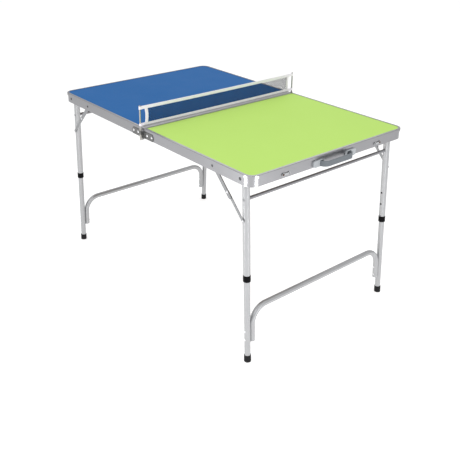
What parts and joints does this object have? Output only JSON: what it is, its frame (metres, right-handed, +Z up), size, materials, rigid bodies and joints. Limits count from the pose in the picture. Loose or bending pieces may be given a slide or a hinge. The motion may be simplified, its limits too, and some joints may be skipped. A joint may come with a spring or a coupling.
{
  "type": "ping pong table",
  "caption": "Midsize folding ping pong table with a blue and a green half, telescoping folding legs, braces, carrying handle and lift-off net.",
  "frame": {"origin": "on the floor, at the middle of the object's outline", "axes": "+X along the table from the blue half to the green half with the handle, +Y across it along the net, +Z up"},
  "size_m": [1.253, 0.797, 0.8035],
  "materials": {
    "blue_top": "satin blue paint on board",
    "green_top": "satin green paint on board",
    "rim_aluminium": "satin extruded aluminium",
    "leg_tube": "light grey enamel on steel tube",
    "hinge_steel": "zinc-plated pressed steel",
    "rivet_steel": "bright plated rivets",
    "spring_steel": "spring steel",
    "black_plastic": "moulded black plastic",
    "rubber": "black rubber",
    "grey_plastic": "grey moulded plastic",
    "latch_zinc": "black coated steel",
    "net_thread": "black knotted nylon",
    "white_tape": "white woven tape"
  },
  "bodies": {
    "green_half": {"green_rim": "rim_aluminium", "green_board": "green_top", "green_centre_rail": "rim_aluminium", "green_hinge_plates": "hinge_steel", "green_hinge_rivets": "rivet_steel", "hinge_pins": "rivet_steel", "net_sockets": "hinge_steel", "green_leg_rivets": "rivet_steel", "green_brace_rim_rivets": "rivet_steel", "green_pivot_spacers": "hinge_steel", "handle_band": "grey_plastic", "handle_brackets": "grey_plastic", "latch_rivets": "rivet_steel"},
    "blue_half": {"blue_rim": "rim_aluminium", "blue_board": "blue_top", "blue_centre_rail": "rim_aluminium", "blue_hinge_plates": "hinge_steel", "blue_hinge_rivets": "rivet_steel", "blue_leg_rivets": "rivet_steel", "blue_brace_rim_rivets": "rivet_steel", "blue_pivot_spacers": "hinge_steel", "latch_studs": "rivet_steel"},
    "net": {"net_posts": "hinge_steel", "net_top_tape": "white_tape", "net_bottom_tape": "white_tape", "net_end_tapes": "white_tape", "net_mesh": "net_thread"},
    "near_latch": {"latch_hook_near": "latch_zinc"},
    "far_latch": {"latch_hook_far": "latch_zinc"},
    "green_leg_frame": {"green_upper_legs": "leg_tube", "green_leg_collars": "black_plastic", "green_leg_rod": "leg_tube", "green_rod_bolts": "rivet_steel", "green_brace_leg_rivets": "rivet_steel"},
    "green_leg_extension": {"green_lower_legs": "leg_tube", "green_leg_feet": "rubber", "green_bow": "leg_tube", "green_bow_rivets": "rivet_steel", "green_snap_springs": "spring_steel"},
    "green_brace_channel_pair": {"green_brace_channels": "hinge_steel", "green_knee_rivets": "rivet_steel"},
    "green_brace_bar_pair": {"green_brace_bars": "hinge_steel"},
    "green_near_button": {"green_snap_button_near": "rivet_steel"},
    "green_far_button": {"green_snap_button_far": "rivet_steel"},
    "blue_leg_frame": {"blue_upper_legs": "leg_tube", "blue_leg_collars": "black_plastic", "blue_leg_rod": "leg_tube", "blue_rod_bolts": "rivet_steel", "blue_brace_leg_rivets": "rivet_steel"},
    "blue_leg_extension": {"blue_lower_legs": "leg_tube", "blue_leg_feet": "rubber", "blue_bow": "leg_tube", "blue_bow_rivets": "rivet_steel", "blue_snap_springs": "spring_steel"},
    "blue_brace_channel_pair": {"blue_brace_channels": "hinge_steel", "blue_knee_rivets": "rivet_steel"},
    "blue_brace_bar_pair": {"blue_brace_bars": "hinge_steel"},
    "blue_near_button": {"blue_snap_button_near": "rivet_steel"},
    "blue_far_button": {"blue_snap_button_far": "rivet_steel"}
  },
  "joints": [
    {"name": "centre_fold", "type": "hinge", "parent": "green_half", "child": "blue_half", "pos_m": [-0.0105, 0, 0.678], "axis": [0, -1, 0], "range_deg": [0, 75]},
    {"name": "net_lift", "type": "slide", "parent": "green_half", "child": "net", "axis": [0, 0, 1], "range_m": [0, 0.06]},
    {"name": "near_latch_swing", "type": "hinge", "parent": "green_half", "child": "near_latch", "pos_m": [0.5977, -0.245, 0.691], "axis": [-1, 0, 0], "range_deg": [0, 90]},
    {"name": "far_latch_swing", "type": "hinge", "parent": "green_half", "child": "far_latch", "pos_m": [0.5977, 0.245, 0.691], "axis": [1, 0, 0], "range_deg": [0, 90]},
    {"name": "green_leg_fold", "type": "hinge", "parent": "green_half", "child": "green_leg_frame", "pos_m": [0.5445, 0, 0.696], "axis": [0, 1, 0], "range_deg": [0, 92.4]},
    {"name": "green_leg_height", "type": "slide", "parent": "green_leg_frame", "child": "green_leg_extension", "axis": [-0.0419, 0, 0.9991], "range_m": [0, 0.15]},
    {"name": "green_channel_fold", "type": "hinge", "parent": "green_half", "child": "green_brace_channel_pair", "pos_m": [0.4035, 0, 0.696], "axis": [0, 1, 0], "range_deg": [-46, 0.5]},
    {"name": "green_bar_fold", "type": "hinge", "parent": "green_leg_frame", "child": "green_brace_bar_pair", "pos_m": [0.55078, 0, 0.54613], "axis": [0, 1, 0], "range_deg": [-0.5, 42.6]},
    {"name": "green_near_button_press", "type": "slide", "parent": "green_leg_extension", "child": "green_near_button", "axis": [0, 1, 0], "range_m": [-0.0025, 0], "stiffness_N_per_m": 400},
    {"name": "green_far_button_press", "type": "slide", "parent": "green_leg_extension", "child": "green_far_button", "axis": [0, -1, 0], "range_m": [-0.0025, 0], "stiffness_N_per_m": 400},
    {"name": "blue_leg_fold", "type": "hinge", "parent": "blue_half", "child": "blue_leg_frame", "pos_m": [-0.5655, 0, 0.696], "axis": [0, -1, 0], "range_deg": [0, 92.4]},
    {"name": "blue_leg_height", "type": "slide", "parent": "blue_leg_frame", "child": "blue_leg_extension", "axis": [0.0419, 0, 0.9991], "range_m": [0, 0.15]},
    {"name": "blue_channel_fold", "type": "hinge", "parent": "blue_half", "child": "blue_brace_channel_pair", "pos_m": [-0.4245, 0, 0.696], "axis": [0, -1, 0], "range_deg": [-46, 0.5]},
    {"name": "blue_bar_fold", "type": "hinge", "parent": "blue_leg_frame", "child": "blue_brace_bar_pair", "pos_m": [-0.57178, 0, 0.54613], "axis": [0, -1, 0], "range_deg": [-0.5, 42.6]},
    {"name": "blue_near_button_press", "type": "slide", "parent": "blue_leg_extension", "child": "blue_near_button", "axis": [0, 1, 0], "range_m": [-0.0025, 0], "stiffness_N_per_m": 400},
    {"name": "blue_far_button_press", "type": "slide", "parent": "blue_leg_extension", "child": "blue_far_button", "axis": [0, -1, 0], "range_m": [-0.0025, 0], "stiffness_N_per_m": 400}
  ],
  "couplings": [
    {"joint": "green_channel_fold", "follows": "green_leg_fold", "ratio": -0.49241},
    {"joint": "green_bar_fold", "follows": "green_leg_fold", "ratio": 0.45564},
    {"joint": "blue_channel_fold", "follows": "blue_leg_fold", "ratio": -0.49241},
    {"joint": "blue_bar_fold", "follows": "blue_leg_fold", "ratio": 0.45564}
  ]
}
